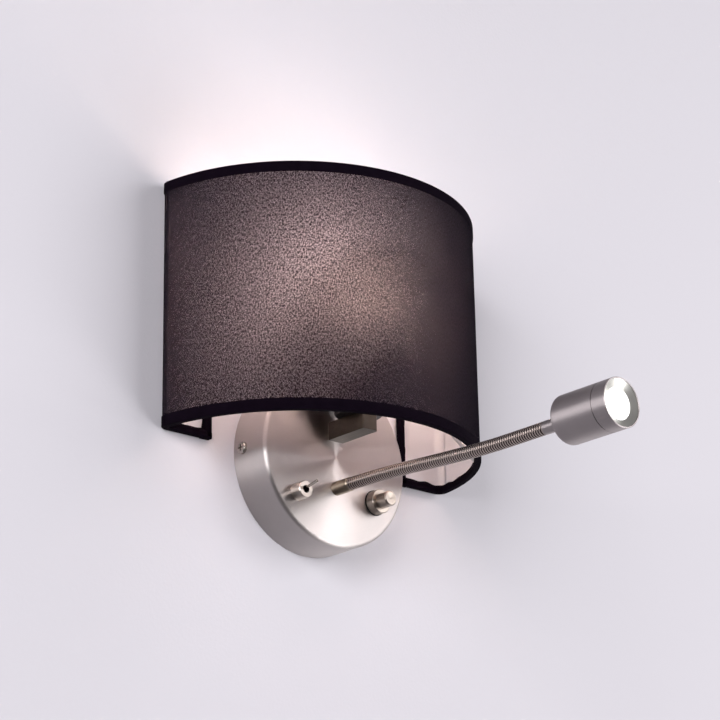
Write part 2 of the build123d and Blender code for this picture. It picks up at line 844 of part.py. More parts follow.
def make_neck_segment(index):
    """One ribbed length of the neck: a cup behind, a ball in front and a bore for the leads."""
    start = neck_joint(index)
    run = neck_joint(index + 1) - start
    front = run.length - front_gap - joint_gap
    pitch = (front - joint_gap) / ribs_per_segment
    circles = [Pos(0, 0, joint_gap) * Circle(root_radius)]
    for rib in range(ribs_per_segment):
        rear = joint_gap + rib * pitch
        circles.append(Pos(0, 0, rear + rib_crest_start * pitch) * Circle(crest_radius))
        circles.append(Pos(0, 0, rear + rib_crest_end * pitch) * Circle(crest_radius))
        circles.append(Pos(0, 0, rear + pitch) * Circle(root_radius))
    hose = loft(circles, ruled=True) - Sphere(cup_radius)
    hose += Pos(0, 0, run.length) * Sphere(ball_radius)
    hose -= rod(Plane.XY, neck_bore / 2, 2 * run.length)
    return Plane(origin=start, x_dir=(1, 0, 0), z_dir=run) * hose


# ---------------------------------------------------------------- reading light's head
def head_axis(distance):
    """Plane across the head's axis at a distance from the wall."""
    return facing_out(0, distance, neck_joint(neck_segments).Z)


def make_head_ferrule():
    """Flared ferrule from the neck's last joint to the head, with a stud into the heat sink."""
    last = neck_start + neck_length
    end = head_ferrule_length
    body = turned(
        head_axis(last),
        (0, joint_gap),
        (root_radius, joint_gap),
        (crest_radius, joint_gap + front_gap),
        (crest_radius, end - head_ferrule_flare),
        (head_ferrule_end_diameter / 2, end),
        (head_stud_diameter / 2, end),
        (head_stud_diameter / 2, end + head_stud_length),
        (0, end + head_stud_length),
    )
    body -= head_axis(last) * Sphere(cup_radius)
    return body - rod(head_axis(last), neck_bore / 2, end + head_stud_length)


def make_head_body():
    """Rear shell of the head: rounded back, and a threaded spigot for the front ring."""
    length = ring_start - head_groove - head_start
    inner = head_radius - head_wall
    spigot = head_radius - ring_wall - thread_clearance
    axis = head_axis(head_start)
    shell = rod(axis, head_radius, length)
    shell = fillet(shell.edges().group_by(Axis.Y)[-1], head_back_radius)
    shell += rod(axis, head_radius - head_groove_depth, head_groove, length)
    shell += rod(axis, spigot, spigot_length, length + head_groove)
    shell -= rod(axis, inner - head_groove_depth, length + head_length, head_back_wall)
    return shell - rod(axis, head_stud_diameter / 2 + thread_clearance, head_back_wall)


def make_front_ring():
    """Front ring of the head, screwed over the spigot."""
    axis = head_axis(ring_start)
    ring = tube(axis, head_radius, head_radius - ring_wall, head_ring_length)
    return chamfer(ring.edges().group_by(Axis.Y)[0].sort_by(SortBy.LENGTH)[-1], ring_chamfer)


def make_reflector():
    """Polished bevel inside the front ring, with a seat for the lens."""
    outer = head_radius - ring_wall - thread_clearance
    lens = lens_diameter / 2 + thread_clearance
    axis = head_axis(head_end)
    back = head_ring_length - spigot_length - seat_gap
    return turned(
        axis,
        (outer, -bevel_setback),
        (lens, -bevel_depth),
        (lens, -back),
        (outer, -back),
    )


def make_lens():
    """Clear cone lens that gathers the light: a level front with a rim, narrow behind."""
    return turned(
        head_axis(lens_front),
        (0, -lens_depth),
        (lens_rear_diameter / 2, -lens_depth),
        (lens_diameter / 2, -lens_rim),
        (lens_diameter / 2, 0),
        (0, 0),
    )


def make_board():
    """Round aluminium board that carries the light source."""
    return rod(head_axis(board_front - board_thickness), board_diameter / 2, board_thickness)


def make_chip():
    """The light source itself, between the board and the lens."""
    return block(chip_size, chip_height, chip_size, 0, chip_front, neck_joint(neck_segments).Z)


def make_heat_sink():
    """Grooved aluminium plug behind the board, screwed onto the ferrule's stud."""
    rear = head_start + head_back_wall
    length = board_front - board_thickness - rear
    radius = head_radius - head_wall - head_groove_depth - running_clearance
    axis = head_axis(rear)
    sink = rod(axis, radius, length)
    pitch = length / heat_sink_grooves
    for groove in range(heat_sink_grooves):
        start = groove * pitch + (pitch - heat_sink_groove) / 2
        sink -= tube(axis, head_radius, heat_sink_core_diameter / 2, heat_sink_groove, start)
    sink -= rod(axis, head_stud_diameter / 2 + thread_clearance, head_stud_length)
    return sink - rod(axis, neck_bore / 2, length)


# ---------------------------------------------------------------- every piece in its own file
os.makedirs("parts", exist_ok=True)

save("wall_bracket", make_bracket())
save("earth_screw", make_earth_screw())
save("canopy", make_canopy())
save("canopy_screws", *make_side_screws())

save("arm_bar", make_arm())
save("arm_nipple", make_arm_nipple())
save("arm_nut", make_nut(arm_middle, nipple_diameter))
save("lampholder_nipple", make_lampholder_nipple())
save("lampholder_cap", make_lampholder_cap())
save("lampholder_shell", make_lampholder_shell())
save("lampholder_insert", make_insert())
save("lampholder_socket", make_socket())
save("lampholder_contact", make_contact())
save("bulb_cap", make_bulb_cap())
save("bulb_body", make_bulb_body())
save("bulb_globe", make_globe())

save("shade_fabric", shade_sheet(0, fabric_thickness))
save("shade_liner", shade_sheet(fabric_thickness, liner_inset))
save("shade_top_trim", along_edge(tape_section(-1), shade_top, end_gap=trim_height))
save("shade_bottom_trim", make_bottom_trim())
save("shade_end_trims", *make_end_trims())
save("shade_bottom_wire", make_frame_wire(bottom_wire_height))
save("shade_top_wire", make_frame_wire(top_wire_height))
save("shade_uprights", *make_uprights(bottom_wire_height, top_wire_height))
save("shade_spider", make_spider())
save("shade_nuts", *make_shade_nuts())

save("toggle_body", make_toggle_body())
save("toggle_lugs", *make_toggle_lugs())
save("toggle_bushing", make_toggle_bushing())
save("toggle_nut", make_toggle_nut())
save("toggle_lever", make_toggle_lever())
save("push_body", make_push_body())
save("push_lugs", *make_push_lugs())
save("push_bushing", make_push_bushing())
save("push_gasket", make_gasket())
save("push_collar", make_collar())
save("push_button", make_button())

save("led_driver", make_driver())
save("terminal_block", make_terminal_block())
save("lamp_leads", *make_lamp_leads())
save("neck_leads", *make_neck_leads())

save("neck_base_ferrule", make_base_ferrule())
save("neck_base_nut", make_nut(-neck_drop, ferrule_thread))
for number in range(neck_segments):
    save(f"neck_segment_{number + 1}", make_neck_segment(number))

save("head_ferrule", make_head_ferrule())
save("head_body", make_head_body())
save("head_front_ring", make_front_ring())
save("head_reflector", make_reflector())
save("head_lens", make_lens())
save("led_board", make_board())
save("led_chip", make_chip())
save("heat_sink", make_heat_sink())
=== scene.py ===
import json
from math import atan2, cos, floor, pi, radians, sin, sqrt

import bpy
from mathutils import Matrix, Vector


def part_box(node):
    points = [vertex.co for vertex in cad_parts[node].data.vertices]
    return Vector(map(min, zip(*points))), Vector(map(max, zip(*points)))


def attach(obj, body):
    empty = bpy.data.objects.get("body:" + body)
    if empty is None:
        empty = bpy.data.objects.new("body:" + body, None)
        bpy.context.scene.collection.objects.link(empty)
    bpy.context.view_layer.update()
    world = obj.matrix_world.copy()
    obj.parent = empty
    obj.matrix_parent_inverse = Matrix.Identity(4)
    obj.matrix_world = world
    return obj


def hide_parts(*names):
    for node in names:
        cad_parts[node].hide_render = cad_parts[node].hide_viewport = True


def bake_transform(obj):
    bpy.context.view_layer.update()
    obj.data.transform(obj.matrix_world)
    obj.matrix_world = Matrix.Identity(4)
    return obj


# Looks of the bedside wall reading lamp. Metres, in the frame's own axes:
# +X right as seen from the room, +Y into the wall, +Z up, origin on the wall.
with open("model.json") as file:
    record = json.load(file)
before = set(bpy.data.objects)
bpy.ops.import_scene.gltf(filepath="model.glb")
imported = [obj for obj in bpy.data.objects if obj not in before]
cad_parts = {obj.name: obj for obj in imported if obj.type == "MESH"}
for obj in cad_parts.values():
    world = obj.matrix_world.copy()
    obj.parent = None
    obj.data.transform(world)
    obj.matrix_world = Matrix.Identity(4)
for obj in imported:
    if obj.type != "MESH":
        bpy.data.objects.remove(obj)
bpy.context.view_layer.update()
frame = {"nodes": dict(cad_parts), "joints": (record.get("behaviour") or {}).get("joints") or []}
nodes = frame["nodes"]

# ---------------------------------------------------------------- sizes of the shade
WALL_BODY = "wall_unit"
SHADE_LOW, SHADE_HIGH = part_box("shade_fabric")
HALF_WIDTH = SHADE_HIGH[0]
SHADE_GAP = -SHADE_HIGH[1]
SHADE_DEPTH = SHADE_HIGH[1] - SHADE_LOW[1]
SHADE_BOTTOM = SHADE_LOW[2]
SHADE_TOP = SHADE_HIGH[2]
RETURN_END = min(abs(v.co.x) for v in nodes["shade_fabric"].data.vertices if v.co.y > -0.001)
CORNER_RADIUS = 0.006
LINER_INSET = 0.001

SHEET_STEP = 0.0022  # between the points round a sheet
SHEET_LEVELS = 56
SHEET_RIPPLE = 0.00008
SHEET_END_GAP = 0.0006  # from the shade's edges to the sheets' edges, inside the tapes
CLOTH_INSET = 0.00015
LINING_INSET = 0.00085

TAPE_HEIGHT = 0.007
HEM_HEIGHT = 0.006
TAPE_THICKNESS = 0.0004
TAPE_INSET = 0.0041  # from the shade's face in to the far side of the wire inside the tape
TAPE_BEND = 0.0011
TAPE_BEND_STEPS = 6
TAPE_INNER_HEIGHT = 0.0034  # up to which the tape's inner side stands upright
HEM_LIFT = 0.0002  # from the lining to the hem's edge
HEM_STEP = 0.0006
END_TAPE_LEVELS = 90
TOP_HEM_WAVE = 0.0001
BOTTOM_HEM_WAVE = 0.0004
END_HEM_WAVE = 0.0003

# Sine waves along a line: radians per metre, phase and weight.
LONG_WAVES = ((310, 0.0, 1.0), (523, 1.0, 0.7), (97, 0.0, 0.5))
END_WAVES = ((290, 0.0, 1.0), (611, 2.0, 0.7))

# ---------------------------------------------------------------- sizes of the neck
NECK_JOINTS = [Vector(j["pos_m"]) for j in frame["joints"] if j["name"].startswith("neck")]
NECK_CREST = 0.0042
NECK_ROOT = 0.0035
NECK_INTO_BASE = 0.0022  # from the first joint back into the base ferrule
NECK_INTO_HEAD = 0.0012  # from the last joint on into the head's ferrule
RIB_PITCH = 0.0019
RIB_STEPS = 12  # rings of points in one pitch
RIB_POWER = 1.8  # 2 would be a round wire
POINTS_AROUND = 40

# ---------------------------------------------------------------- the room and its lights
WALL_HALF = 4.0
WALL_FACE = 0.0004
# Name, place, target, width, height, power and colour of each soft box.
SOFT_BOXES = (
    ("soft_box_left", (-2.2, -1.5, 0.25), (0, 0, 0), 1.2, 1.4, 57, (1.0, 0.98, 1.0)),
    ("soft_box_right", (1.45, -1.62, 0.38), (0, 0, -0.05), 1.3, 1.3, 22, (1.0, 0.98, 0.99)),
    ("soft_box_low", (1.6, -1.8, -1.2), (0, 0, -0.2), 1.3, 1.0, 24, (1.0, 0.98, 0.99)),
)
FILAMENT_RADIUS = 0.005
FILAMENT_HEIGHT = 0.092
BULB_POWER = 0.26
BULB_COLOUR = (1.0, 0.80, 0.66)
BEAM_PLACE = (0.006, -0.026, 0.123)
BEAM_DIRECTION = (-0.2, -1.0, 0.0)
BEAM_POWER = 0.92
BEAM_COLOUR = (1.0, 0.86, 0.80)
BEAM_ANGLE = radians(172)
BEAM_BLEND = 0.1
ROOM_COLOUR = (0.86, 0.80, 0.84)
ROOM_STRENGTH = 0.15

# ---------------------------------------------------------------- where the photo was taken from
CAMERA_PLACE = (-0.9489, -1.1140, -0.4479)
CAMERA_YAW = radians(41.89)
CAMERA_PITCH = radians(19.676)
CAMERA_ROLL = radians(-1.10)
CAMERA_LENS = 115.98
CAMERA_SENSOR = 36

# ---------------------------------------------------------------- colours and grain
NICKEL = (0.46, 0.425, 0.415)
HEAD_METAL = (0.38, 0.345, 0.345)
NOISE_LOW, NOISE_HIGH = 0.3, 0.7  # between which most of a noise lies
BRUSH = 0.0002
FINE_BRUSH_DEPTH = 0.0000008
BRUSH_DEPTH = 0.000001
THREAD_PITCH = 0.00052
GAP_SHARE = 0.75  # of the cloth's face, through which light comes
GAP_INDEX = 0.33
LINING_CLEAR_OUTSIDE = 0.80
LINING_CLEAR_INSIDE = 0.08
TWILL_PITCH = 0.0006


# ---------------------------------------------------------------- short calls for shader nodes
class Graph:
    """A material's node tree, with one short call for each kind of node."""

    def __init__(self, name):
        self.material = bpy.data.materials.new(name)
        self.material.use_nodes = True
        self.tree = self.material.node_tree
        self.tree.nodes.clear()

    def add(self, kind, settings=None, **inputs):
        """Adds a node. An input is named with _ for a space, and holds a value or another output."""
        node = self.tree.nodes.new("ShaderNode" + kind)
        for key, value in (settings or {}).items():
            setattr(node, key, value)
        for key, value in inputs.items():
            self.plug(node.inputs[key.replace("_", " ")], value)
        return node

    def plug(self, socket, value):
        """Links an output to a socket, or sets the socket's value."""
        if isinstance(value, bpy.types.NodeSocket):
            self.tree.links.new(value, socket)
        else:
            socket.default_value = value

    def math(self, operation, first, second=0.0):
        node = self.add("Math", {"operation": operation})
        self.plug(node.inputs[0], first)
        self.plug(node.inputs[1], second)
        return node.outputs[0]

    def vector(self, operation, first, second=(0, 0, 0)):
        node = self.add("VectorMath", {"operation": operation})
        self.plug(node.inputs[0], first)
        self.plug(node.inputs[1], second)
        return node.outputs["Value" if operation in ("DOT_PRODUCT", "LENGTH") else "Vector"]

    def scaled(self, vector, factor):
        node = self.add("VectorMath", {"operation": "SCALE"}, Scale=factor)
        self.plug(node.inputs[0], vector)
        return node.outputs["Vector"]

    def object_place(self):
        return self.add("TexCoord").outputs["Object"]

    def noise(self, place, scale, detail=2.0):
        node = self.add("TexNoise", Vector=place, Scale=scale, Detail=detail)
        return node.outputs["Fac"]

    def fit(self, value, low, high, out_low, out_high):
        """Takes low to high linearly to out_low to out_high."""
        node = self.add("MapRange", Value=value)
        ends = {"From Min": low, "From Max": high, "To Min": out_low, "To Max": out_high}
        for name, number in ends.items():
            node.inputs[name].default_value = number
        return node.outputs["Result"]

    def vary(self, noise, out_low, out_high):
        """Takes most of a noise's range to out_low to out_high."""
        return self.fit(noise, NOISE_LOW, NOISE_HIGH, out_low, out_high)

    def blend(self, share, first, second):
        """Mix of two colours."""
        node = self.add("MixRGB")
        self.plug(node.inputs["Fac"], share)
        self.plug(node.inputs["Color1"], first)
        self.plug(node.inputs["Color2"], second)
        return node.outputs["Color"]

    def bump(self, height, distance):
        return self.add("Bump", Height=height, Distance=distance).outputs["Normal"]

    def mix_shaders(self, share, first, second):
        node = self.add("MixShader")
        self.plug(node.inputs[0], share)
        self.plug(node.inputs[1], first)
        self.plug(node.inputs[2], second)
        return node.outputs[0]

    def principled(self, **inputs):
        return self.add("BsdfPrincipled", **inputs).outputs["BSDF"]

    def finish(self, surface):
        output = self.add("OutputMaterial")
        self.tree.links.new(surface, output.inputs["Surface"])
        return self.material


def rgb(red, green, blue):
    return (red, green, blue, 1.0)


def shaded(colour, share):
    """A colour at a share of its lightness."""
    return rgb(*[c * share for c in colour])


def middle_of(node):
    """Middle of a node's box, which lies on its axis."""
    low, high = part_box(node)
    return tuple((a + b) / 2 for a, b in zip(low, high))


# ---------------------------------------------------------------- metals
def turned_metal(name, colour, centre, roughness, anisotropy, groove, depth, bore_shade_radius=0.0):
    """Metal brushed while it turned about an axis along Y: fine grooves round the axis, which draw
    highlights out across themselves. Within a given radius of the axis it is painted near black:
    painted shade down the bore."""
    g = Graph(name)
    place = g.vector("SUBTRACT", g.object_place(), centre)
    flat = g.vector("MULTIPLY", place, (1, 0, 1))
    radius = g.vector("LENGTH", flat)
    along = g.vector("DOT_PRODUCT", place, (0, 1, 0))
    across = g.add("CombineXYZ", X=radius, Y=along, Z=0.0).outputs[0]
    loose = g.vector("ADD", across, g.scaled(place, 0.06))
    lines = g.noise(loose, scale=1 / groove, detail=3.0)
    cloud = g.noise(place, scale=60.0, detail=3.0)
    both = g.fit(g.math("ADD", lines, cloud), 0.7, 1.3, 0, 1)
    tint = g.blend(both, shaded(colour, 0.92), rgb(*colour))
    # Painted shade: inside the bore's radius the colour is near black, standing for the shade down
    # the hole.
    painted_bore_shade = rgb(0.008, 0.006, 0.006)
    tint = g.blend(g.math("GREATER_THAN", radius, bore_shade_radius), painted_bore_shade, tint)
    rough = g.vary(lines, roughness * 0.94, roughness * 1.06)
    groove_line = g.vector("CROSS_PRODUCT", (0.0, 1.0, 0.0), place)
    groove_line = g.add(
        "VectorTransform",
        {"vector_type": "VECTOR", "convert_from": "OBJECT", "convert_to": "WORLD"},
        Vector=groove_line,
    ).outputs[0]
    normal = g.add("NewGeometry").outputs["Normal"]
    spread = g.vector("CROSS_PRODUCT", groove_line, normal)
    return g.finish(
        g.principled(
            Base_Color=tint,
            Metallic=1.0,
            Roughness=rough,
            Anisotropic=anisotropy,
            Tangent=spread,
            Normal=g.bump(lines, depth),
        )
    )


def plain_metal(name, colour, roughness, grain=0.0008, depth=0.000004):
    """Cast or plated metal without a brushed direction."""
    g = Graph(name)
    place = g.object_place()
    fine = g.noise(place, scale=1 / grain, detail=4.0)
    cloud = g.noise(place, scale=120.0)
    tint = g.blend(g.vary(cloud, 0, 1), shaded(colour, 0.86), rgb(*colour))
    rough = g.vary(fine, roughness * 0.8, roughness * 1.2)
    bump = g.bump(fine, depth)
    return g.finish(g.principled(Base_Color=tint, Metallic=1.0, Roughness=rough, Normal=bump))


def linear_metal(name, colour, roughness, direction, groove=0.0003, depth=0.000008):
    """Metal brushed in straight lines along a direction."""
    g = Graph(name)
    place = g.object_place()
    squeeze = tuple(0.03 if d else 1.0 for d in direction)
    lines = g.noise(g.vector("MULTIPLY", place, squeeze), scale=1 / groove, detail=3.0)
    cloud = g.noise(place, scale=90.0)
    tint = g.blend(g.vary(cloud, 0, 1), shaded(colour, 0.85), rgb(*colour))
    rough = g.vary(lines, roughness * 0.8, roughness * 1.2)
    bump = g.bump(lines, depth)
    return g.finish(g.principled(Base_Color=tint, Metallic=1.0, Roughness=rough, Normal=bump))


# ---------------------------------------------------------------- plastics, rubber, porcelain, paint
def moulded(name, colour, roughness, grain=0.0006, depth=0.00001):
    """Moulded or painted surface with a fine grain and slightly uneven gloss."""
    g = Graph(name)
    place = g.object_place()
    fine = g.noise(place, scale=1 / grain, detail=3.0)
    cloud = g.noise(place, scale=150.0)
    tint = g.blend(g.vary(cloud, 0, 1), shaded(colour, 0.9), rgb(*colour))
    rough = g.vary(cloud, roughness * 0.85, roughness * 1.15)
    return g.finish(g.principled(Base_Color=tint, Roughness=rough, Normal=g.bump(fine, depth)))


# ---------------------------------------------------------------- cloth
def thread_place(g):
    """Place on the cloth, in metres along it and up it."""
    return g.add("UVMap").outputs["UV"]


def weave(g, pitch):
    """Plain weave with uneven threads: returns its height and how light its threads are."""
    place = thread_place(g)
    drift = g.add("TexNoise", Vector=place, Scale=220.0).outputs["Color"]
    drift = g.vector("SUBTRACT", drift, (0.5, 0.5, 0.5))
    place = g.vector("ADD", place, g.scaled(drift, pitch * 1.4))
    part = g.add("SeparateXYZ", Vector=place)
    warp = g.math("SINE", g.math("MULTIPLY", part.outputs["X"], pi / pitch))
    weft = g.math("SINE", g.math("MULTIPLY", part.outputs["Y"], pi / pitch))
    checks = g.math("MULTIPLY", warp, weft)
    grain = 0.80 / pitch
    upright = g.noise(g.vector("MULTIPLY", place, (1.0, 0.38, 1.0)), scale=grain)
    level = g.noise(g.vector("MULTIPLY", place, (0.45, 1.0, 1.0)), scale=grain)
    slubs = g.math("ADD", g.math("MULTIPLY", upright, 0.6), g.math("MULTIPLY", level, 0.4))
    height = g.math("ADD", g.math("MULTIPLY", checks, 0.5), slubs)
    return height, slubs


def shade_cloth():
    """Dark linen, lit from behind. Its gaps scatter light mostly forward: a rough refraction with an
    index under one, whose normal the weave tilts, so that no sharp edge shows in the glow."""
    g = Graph("shade_cloth")
    height, slubs = weave(g, THREAD_PITCH)
    patch = g.noise(thread_place(g), scale=45.0)
    light = g.fit(slubs, 0.43, 0.58, 0.0, 1.0)
    ground = g.blend(patch, rgb(0.008, 0.004, 0.012), rgb(0.012, 0.007, 0.014))
    thread = g.blend(patch, rgb(0.042, 0.030, 0.054), rgb(0.058, 0.042, 0.066))
    face = g.principled(
        Base_Color=g.blend(light, ground, thread),
        Roughness=0.9,
        Specular_IOR_Level=0.1,
        Normal=g.bump(height, 0.00010),
    )
    gaps = g.add(
        "BsdfRefraction",
        Color=g.blend(light, rgb(0.05, 0.04, 0.05), rgb(1.0, 0.87, 0.95)),
        Roughness=1.0,
        IOR=GAP_INDEX,
        Normal=g.bump(height, 0.00022),
    ).outputs[0]
    return g.finish(g.mix_shaders(GAP_SHARE, face, gaps))


def lining():
    """Laminated lining with a faint grain. Towards the bulb it is a nearly closed white face, and
    towards the cloth it is mostly clear, so that the cloth is lit from behind."""
    g = Graph("shade_lining")
    place = thread_place(g)
    grain = g.noise(place, scale=900.0, detail=3.0)
    cloud = g.noise(place, scale=25.0)
    tint = g.blend(cloud, rgb(0.80, 0.76, 0.79), rgb(0.86, 0.83, 0.86))
    face = g.principled(Base_Color=tint, Roughness=0.55, Normal=g.bump(grain, 0.00003))
    soft = g.add("BsdfTranslucent", Color=rgb(1.0, 0.95, 0.92)).outputs[0]
    fine = g.add("BsdfTransparent", Color=rgb(1.0, 0.97, 0.95)).outputs[0]
    inner_side = g.add("NewGeometry").outputs["Backfacing"]
    clear = g.fit(inner_side, 0.0, 1.0, LINING_CLEAR_OUTSIDE, LINING_CLEAR_INSIDE)
    return g.finish(g.mix_shaders(clear, g.mix_shaders(0.10, face, soft), fine))


def tape_cloth():
    """Black twill tape with fine slanting ribs, nearly without gloss."""
    g = Graph("tape_cloth")
    part = g.add("SeparateXYZ", Vector=thread_place(g))
    slant = g.math("ADD", part.outputs["X"], part.outputs["Y"])
    ribs = g.math("SINE", g.math("MULTIPLY", slant, 2 * pi / TWILL_PITCH))
    worn = g.noise(thread_place(g), scale=160.0, detail=3.0)
    surface = g.principled(
        Base_Color=g.blend(worn, rgb(0.0025, 0.0010, 0.0035), rgb(0.0065, 0.0030, 0.0080)),
        Roughness=0.9,
        Specular_IOR_Level=0.04,
        Normal=g.bump(g.math("ADD", ribs, worn), 0.00004),
    )
    return g.finish(surface)


# ---------------------------------------------------------------- glass and light
def lit_globe():
    """Frosted bulb glass, glowing evenly, that lets the filament's light through."""
    g = Graph("lit_globe")
    frost = g.noise(g.object_place(), scale=2500.0)
    face = g.principled(
        Base_Color=rgb(1.0, 0.93, 0.82),
        Roughness=g.vary(frost, 0.45, 0.6),
        Emission_Color=rgb(1.0, 0.80, 0.58),
        Emission_Strength=4.0,
        Normal=g.bump(frost, 0.00001),
    )
    clear = g.add("BsdfTransparent").outputs[0]
    return g.finish(g.mix_shaders(0.75, face, clear))


def lit_lens():
    """Clear optic filled with white light, a little dimmer towards its rim."""
    g = Graph("lit_lens")
    place = g.vector("SUBTRACT", g.object_place(), middle_of("head_lens"))
    flat = g.vector("MULTIPLY", place, (1, 0, 1))
    reach = g.vector("LENGTH", flat)
    strength = g.fit(reach, 0.006, 0.0098, 3.0, 1.3)
    facets = g.noise(flat, scale=1800.0)
    surface = g.principled(
        Base_Color=rgb(0.9, 0.92, 0.95),
        Roughness=0.15,
        Emission_Color=rgb(1.0, 1.0, 1.0),
        Emission_Strength=strength,
        Normal=g.bump(facets, 0.00001),
    )
    return g.finish(surface)


def phosphor():
    """The light source under the lens."""
    g = Graph("phosphor")
    grain = g.noise(g.object_place(), scale=4000.0)
    surface = g.principled(
        Base_Color=g.blend(grain, rgb(0.9, 0.75, 0.2), rgb(1.0, 0.9, 0.4)),
        Emission_Color=rgb(1, 1, 0.95),
        Emission_Strength=4.0,
    )
    return g.finish(surface)


def wall_paint():
    """Pale matt wall paint with a fine roller texture. From behind it isn't there."""
    g = Graph("wall_paint")
    place = g.object_place()
    stipple = g.noise(place, scale=420.0, detail=4.0)
    cloud = g.noise(place, scale=1.3)
    face = g.principled(
        Base_Color=g.blend(cloud, rgb(0.700, 0.688, 0.735), rgb(0.722, 0.710, 0.758)),
        Roughness=0.75,
        Specular_IOR_Level=0.2,
        Normal=g.bump(stipple, 0.00008),
    )
    behind = g.add("NewGeometry").outputs["Backfacing"]
    return g.finish(g.mix_shaders(behind, face, g.add("BsdfTransparent").outputs[0]))


# ---------------------------------------------------------------- materials of the CAD nodes
def dress(material, *names):
    """Gives CAD nodes a material."""
    for name in names:
        data = nodes[name].data
        data.materials.clear()
        data.materials.append(material)


def dress_turned_metals():
    canopy = turned_metal(
        "canopy_nickel",
        NICKEL,
        middle_of("canopy"),
        roughness=0.40,
        anisotropy=0.94,
        groove=BRUSH,
        depth=FINE_BRUSH_DEPTH,
    )
    head = turned_metal(
        "head_nickel",
        HEAD_METAL,
        middle_of("head_body"),
        roughness=0.42,
        anisotropy=0.95,
        groove=BRUSH,
        depth=FINE_BRUSH_DEPTH,
    )
    bevel = turned_metal(
        "head_bevel",
        (0.82, 0.82, 0.77),
        middle_of("head_body"),
        roughness=0.34,
        anisotropy=0.2,
        groove=0.0003,
        depth=0.0000005,
    )
    ferrule = turned_metal(
        "ferrule_nickel",
        (0.34, 0.29, 0.23),
        middle_of("neck_base_ferrule"),
        roughness=0.34,
        anisotropy=0.85,
        groove=BRUSH,
        depth=BRUSH_DEPTH,
    )
    toggle = turned_metal(
        "toggle_nickel",
        (0.52, 0.47, 0.43),
        middle_of("toggle_nut"),
        roughness=0.30,
        anisotropy=0.7,
        groove=BRUSH,
        depth=BRUSH_DEPTH,
        # Painted shade: the toggle's bore is painted near black within this radius.
        bore_shade_radius=0.0026,
    )
    push = turned_metal(
        "push_nickel",
        (0.38, 0.33, 0.29),
        middle_of("push_button"),
        roughness=0.34,
        anisotropy=0.85,
        groove=BRUSH,
        depth=BRUSH_DEPTH,
    )
    dress(canopy, "canopy")
    dress(head, "head_body", "head_front_ring", "head_ferrule")
    dress(bevel, "head_reflector")
    dress(ferrule, "neck_base_ferrule")
    dress(toggle, "toggle_nut", "toggle_bushing")
    dress(push, "push_collar", "push_bushing", "push_button")


def dress_other_metals():
    arm = linear_metal("arm_nickel", (0.10, 0.09, 0.075), 0.34, direction=(0, 1, 0))
    polished = plain_metal("polished_nickel", (0.50, 0.46, 0.42), 0.22)
    lever = plain_metal("lever_nickel", (0.30, 0.27, 0.24), 0.20)
    zinc = plain_metal("zinc", (0.58, 0.59, 0.60), 0.38)
    brass = plain_metal("brass", (0.70, 0.53, 0.25), 0.28)
    aluminium = plain_metal("bare_aluminium", (0.75, 0.76, 0.77), 0.35)
    dress(arm, "arm_bar")
    dress(polished, "canopy_screws", "bulb_cap")
    dress(lever, "toggle_lever")
    dress(zinc, "wall_bracket", "arm_nipple", "arm_nut", "lampholder_nipple", "neck_base_nut")
    dress(brass, "earth_screw", "lampholder_socket", "lampholder_contact", "toggle_lugs", "push_lugs")
    dress(aluminium, "led_board", "heat_sink")


def dress_moulded_pieces():
    phenolic = moulded("black_phenolic", (0.012, 0.011, 0.012), 0.38)
    rubber = moulded("black_rubber", (0.008, 0.008, 0.008), 0.7)
    porcelain = moulded("porcelain", (0.82, 0.80, 0.76), 0.2)
    plastic = moulded("white_plastic", (0.82, 0.81, 0.79), 0.35)
    paint = moulded("white_paint", (0.72, 0.70, 0.69), 0.42)
    insulation = moulded("lead_insulation", (0.22, 0.10, 0.05), 0.4)
    dress(phenolic, "lampholder_cap", "lampholder_shell", "shade_nuts", "toggle_body", "push_body")
    dress(rubber, "push_gasket")
    dress(porcelain, "lampholder_insert")
    dress(plastic, "led_driver", "terminal_block", "bulb_body")
    dress(paint, "shade_bottom_wire", "shade_top_wire", "shade_uprights", "shade_spider")
    dress(insulation, "lamp_leads", "neck_leads")


def dress_lit_pieces():
    dress(lit_globe(), "bulb_globe")
    dress(lit_lens(), "head_lens")
    dress(phosphor(), "led_chip")


# ---------------------------------------------------------------- new pieces
def link(made):
    """Puts an object in the scene."""
    bpy.context.scene.collection.objects.link(made)
    return made


def piece(name, verts, faces, material, uvs=None, smooth=True):
    """Mesh object in the row frame. Where uvs is given, it holds each vertex's place on the cloth."""
    mesh = bpy.data.meshes.new(name)
    mesh.from_pydata(verts, [], faces)
    mesh.update()
    if uvs:
        layer = mesh.uv_layers.new(name="cloth")
        for loop in mesh.loops:
            layer.data[loop.index].uv = uvs[loop.vertex_index]
    for face in mesh.polygons:
        face.use_smooth = smooth
    mesh.materials.append(material)
    return link(bpy.data.objects.new(name, mesh))


def grid_faces(rows, columns, closed=False):
    """Faces of a grid of points, row by row. A closed grid joins its last column to its first."""
    faces = []
    for r in range(rows - 1):
        for c in range(columns if closed else columns - 1):
            a, b = r * columns + c, r * columns + (c + 1) % columns
            faces.append((a, b, b + columns, a + columns))
    return faces


def waves(along, table):
    """Sum of sine waves at a place along a line."""
    return sum(weight * sin(along * rate + phase) for rate, phase, weight in table)


